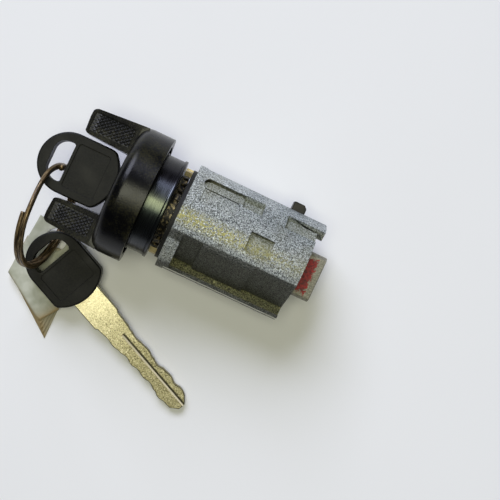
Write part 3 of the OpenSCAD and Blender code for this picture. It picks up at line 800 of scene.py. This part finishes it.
def browned_wire():
    """Spring steel gone brown: pale and dark streaks along the wire, from its own coordinates."""
    material, shader, _ = new_material("steel_browned_wire")
    own = add(material, "Attribute", {"attribute_name": "along_wire"}).outputs["Vector"]
    streak = add(material, "TexNoise", None, {"Vector": own, "Scale": 3.2, "Detail": 3.0}).outputs["Fac"]
    fine = add(material, "TexNoise", None, {"Vector": own, "Scale": 9.0, "Detail": 2.0}).outputs["Fac"]
    colour = blend(material, span(material, streak, 0.36, 0.62), "#2a2118", "#86704e")
    colour = blend(material, span(material, fine, 0.56, 0.72, 0.0, 0.7), colour, "#c9b48a")
    surface(material, shader, {
        "Base Color": colour, "Metallic": 0.75, "Roughness": span(material, fine, 0, 1, 0.32, 0.52),
        "Normal": relief(material, streak, 0.05, 0.4)})
    return material


def split_ring():
    """Section points carried round the ring: centre + radius * spoke(angle) + shift(angle) * axis."""
    low, high = np.array(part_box("split_ring")) / MM
    ahead = np.array([math.cos(RING_YAW), math.sin(RING_YAW), 0.0])
    axis = math.cos(RING_TILT) * ahead - math.sin(RING_TILT) * overhead
    level = np.array([-math.sin(RING_YAW), math.cos(RING_YAW), 0.0])
    rise = np.cross(axis, level)
    angle = np.linspace(RING_FROM, RING_TO, RING_STEPS)[:, None]
    cross = np.clip((angle - CROSS_FROM) / (CROSS_TO - CROSS_FROM), 0, 1)
    shift = RING_TURN * (cross * cross * (3 - 2 * cross) - 0.5)
    turn = np.linspace(0, 2 * np.pi, SECTION_STEPS, endpoint=False)[None, :]
    powers = np.abs(np.cos(turn)) ** SECTION_POWER + np.abs(np.sin(turn)) ** SECTION_POWER
    round_off = powers ** (-1 / SECTION_POWER)
    wide = (RING_WIRE / 2 - WIDE_CLEAR) * np.cos(turn) * round_off
    thick = (RING_TURN / 2 - THICK_CLEAR) * np.sin(turn) * round_off
    radius = RING_R - RING_WIRE / 2 + wide
    spoke = np.cos(angle)[..., None] * level + np.sin(angle)[..., None] * rise
    points = (low + high) / 2 + radius[..., None] * spoke + (shift + thick)[..., None] * axis
    rows, columns = angle.size, turn.size
    last = (rows - 1) * columns
    faces = [*quads(rows, columns, close_columns=True), np.arange(columns), last + np.arange(columns)[::-1]]
    piece = piece_from("split_ring_wire", points.reshape(-1, 3) * MM, faces, browned_wire())
    own = np.stack(np.broadcast_arrays(angle * RING_R / STREAK_STRETCH, wide, thick), -1).reshape(-1, 3)
    piece.data.attributes.new("along_wire", "FLOAT_VECTOR", "POINT").data.foreach_set("vector", own.ravel())
    return piece


finish_piece(split_ring(), "key", "bronzed_steel", "split_ring")

# %% [markdown]
# ## The paper tag
# The tag is a small folded wad of paper under the spare key. Its pages meet at the left corner
# and fan out towards the lowest one, so four pages are four-cornered sheets with their own last
# corner. The top page has the ring's punched hole: its grid runs from the hole out to an outline
# with true corners. Every page is a closed sheet with two faces and an edge all round, and each
# point keeps how stained it is, strongest along the page's lower edge where damp got in.

# %% Paper and pages
PAGE_T = 0.24
LEFT, LOW_TOP, LOW_LAST = np.array([-40.6, -37.5]), np.array([-25.9, -46.9]), np.array([-22.5, -51.3])
RIGHT, UP_RIGHT, UP_LEFT = np.array([-22.0, -41.5]), np.array([-22.1, -20.5]), np.array([-39.0, -17.6])
HOLE, HOLE_R = np.array([-31.6, -22.4]), 3.4
PAGE_LIFT, FAN_RISE, CORNER_DROOP, PAGE_WAVE = 0.06, 2.04, 0.25, 0.05
TOP_RISE, EDGE_SAG, FOLD_SAG, TOP_WAVE = 2.7, 0.35, 0.3, 0.06
PAGE_STEPS, SIDE_STEPS, SPOKE_STEPS = 30, 32, 26
bench_mm = bench_z / MM


def paper():
    """Soft pale paper, faintly fibrous, browned where its own stain value is high."""
    material, shader, place = new_material("tag_paper")
    stain = add(material, "Attribute", {"attribute_name": "stain"}).outputs["Fac"]
    fibre = noise(material, place, 0.5, 3.0, 0.6)
    cloud = noise(material, place, 4, 2.0)
    pale = blend(material, span(material, cloud, 0.35, 0.65), "#9fa18d", "#bdbeae")
    brown = blend(material, fibre, "#86704a", "#b3a27a")
    share = maths(material, "MULTIPLY_ADD", stain, maths(material, "ADD", cloud, 0.45), -0.05)
    surface(material, shader, {
        "Base Color": blend(material, span(material, share, 0.0, 0.8), pale, brown), "Roughness": 0.8,
        "Normal": relief(material, fibre, 0.04, 0.4)})
    return material


def nearness(points, start, end, fade_mm):
    """Falls from 1 on the line from start to end towards 0 over fade_mm: exp(-distance / fade)."""
    line = (end - start) / np.linalg.norm(end - start)
    offset = points - start
    return np.exp(-np.abs(offset[..., 0] * line[1] - offset[..., 1] * line[0]) / fade_mm)


def page(plan, height, stain, closed):
    """A closed sheet from a grid of plan points: upper face, lower face, and walls that join them."""
    rows, columns = plan.shape[:2]
    faces = quads(rows, columns, close_columns=closed)
    count = rows * columns
    if closed:
        first, last = np.arange(columns), count - columns + np.arange(columns)
        loops = [first, last[::-1]]
    else:
        loops = [grid_rim(rows, columns)]
    following = [np.roll(loop, -1) for loop in loops]
    walls = [np.stack([at, to, to + count, at + count], -1) for at, to in zip(loops, following)]
    upper = np.concatenate([plan, height[..., None]], -1).reshape(-1, 3)
    points = np.concatenate([upper, upper - [0, 0, PAGE_T]])
    return points, np.concatenate([faces, faces[:, ::-1] + count, *walls]), np.tile(stain.ravel(), 2)


# %% Fan of pages
def lower_page(share):
    """Bilinear sheet: its last corner moves from the top page's low corner to the lowest as share grows."""
    low = LOW_TOP + (LOW_LAST - LOW_TOP) * share
    corners = np.array([[LEFT + [0.5, 12.5], UP_RIGHT + [-0.2, -3.8]], [LEFT + [-0.1, 0.1], low]])
    v = np.linspace(0, 1, PAGE_STEPS)[:, None, None]
    u = np.linspace(0, 1, PAGE_STEPS)[None, :, None]
    upper_side = (1 - u) * corners[0, 0] + u * corners[0, 1]
    lower_side = (1 - u) * corners[1, 0] + u * corners[1, 1]
    plan = (1 - v) * upper_side + v * lower_side
    wave = PAGE_WAVE * np.sin(plan[..., 0] + 3 * share)
    fan = (FAN_RISE - CORNER_DROOP * (u * v)[..., 0]) * (1 - share)
    height = bench_mm + PAGE_T + PAGE_LIFT + fan + wave
    return page(plan, height, 0.45 + 0.6 * nearness(plan, corners[1, 0], low, 1.2), False)


def top_page():
    """Rings of points from the punched hole out to the outline, sagging a little near its low edges."""
    corners = np.array([LEFT, LOW_TOP, RIGHT, UP_RIGHT, UP_LEFT])
    ends = np.roll(corners, -1, 0)
    part = np.linspace(0, 1, SIDE_STEPS, endpoint=False)[:, None]
    outline = np.concatenate([a + (b - a) * part for a, b in zip(corners, ends)])
    spoke = outline - HOLE
    inner = HOLE + HOLE_R * spoke / np.linalg.norm(spoke, axis=1, keepdims=True)
    t = np.linspace(0, 1, SPOKE_STEPS)[:, None, None]
    plan = inner + (outline - inner) * t
    low_edge = nearness(plan, LOW_TOP, RIGHT, 1.5)
    fold = nearness(plan, LEFT, LOW_TOP, 0.8)
    wave = TOP_WAVE * (np.sin(plan[..., 0] * 0.9 + plan[..., 1] * 0.5) - 1)
    height = bench_mm + TOP_RISE - EDGE_SAG * low_edge - FOLD_SAG * fold + wave
    return page(plan, height, 1.1 * low_edge + 0.35 * nearness(plan, LEFT, LOW_TOP, 0.5), True)


pages = [top_page(), *(lower_page(share) for share in (0.25, 0.5, 0.75, 1.0))]
start = np.cumsum([0] + [len(points) for points, _, _ in pages])
tag = piece_from("folded_tag", np.concatenate([points for points, _, _ in pages]) * MM,
                 np.concatenate([faces + at for (_, faces, _), at in zip(pages, start)]), paper())
stains = np.concatenate([stain for _, _, stain in pages])
tag.data.attributes.new("stain", "FLOAT", "POINT").data.foreach_set("value", stains)
finish_piece(tag, "key", "paper", "tag")

# %% [markdown]
# ## The drive tang
# The tail behind the housing is cast zinc as well. The maker daubed red paint across its top as a
# mark; the daub has a ragged edge, so noise shifts the limits between which the paint lies.


# %% Tang with a daub of red
DAUB_X, RAGGED_X, DAUB_HALF_X = 39.6, 4.0, (4.2, 4.0)
RAGGED_Y, DAUB_HALF_Y = 5.0, (7.8, 7.4)
DAUB_Z = (1.0, 2.4)


def daubed_zinc():
    """Dull cast zinc with a ragged band of red paint, by the lock's own x, y and z."""
    material, shader, place = new_material("cast_zinc_with_red_paint")
    x, y, z = lock_place(material, place)
    ragged = noise(material, place, 0.9, 4.0, 0.8)
    shifted_x = maths(material, "MULTIPLY_ADD", ragged, RAGGED_X, away(material, x, DAUB_X))
    shifted_y = maths(material, "MULTIPLY_ADD", ragged, RAGGED_Y, maths(material, "ABSOLUTE", y))
    painted = product(material, span(material, shifted_x, *DAUB_HALF_X),
                      span(material, shifted_y, *DAUB_HALF_Y), span(material, z, *DAUB_Z))
    sand = span(material, noise(material, place, 0.5, 3.0, 0.7), 0.34, 0.66)
    metal = blend(material, sand, "#6c6a5c", "#a5a293")
    red = blend(material, span(material, ragged, 0.35, 0.6), "#b51a1a", "#5a0b0d")
    surface(material, shader, {
        "Base Color": blend(material, painted, metal, red),
        "Metallic": span(material, painted, 0, 1, 0.4, 0.0),
        "Roughness": 0.5, "Normal": relief(material, sand, 0.1, 0.5)})
    return material


finish_piece(softened("drive_tang", [daubed_zinc()], 0.35, 3), "rotor", "plated_zinc", "drive_tang")

# %% [markdown]
# ## Small solids kept as they are
# The rest is half hidden in the gap or at the back, and its solids need a finish and no more.

# %% Finishes on the small solids
plain_finishes = {"contact_carrier": carrier_black, "contact_pins": brass,
                  "rotor": plain_zinc, "tumblers": brass, "detent_ring": dark_bronze,
                  "rear_clip": spring_steel, "keyway_plate": spring_steel}
for node, finish in plain_finishes.items():
    mesh = frame["nodes"][node].data
    mesh.materials.clear()
    mesh.materials.append(finish)
print("finishes on", len(plain_finishes), "solids")

# %% [markdown]
# The spring under the retainer pin is squeezed as the pin goes in. Its softened copy rides on
# the barrel with a mesh of its own, and its seat in the housing is found, but it is not flattened.

# %% Retainer spring
spring_low, spring_high = (np.array(corner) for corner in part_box("retainer_spring"))
spring_seat = (spring_low + spring_high) / 2
spring_seat[1] = spring_low[1]
spring = softened("retainer_spring", [spring_steel], 0.1)
finish_piece(spring, "barrel", "spring_steel", "retainer_spring")
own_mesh(spring)
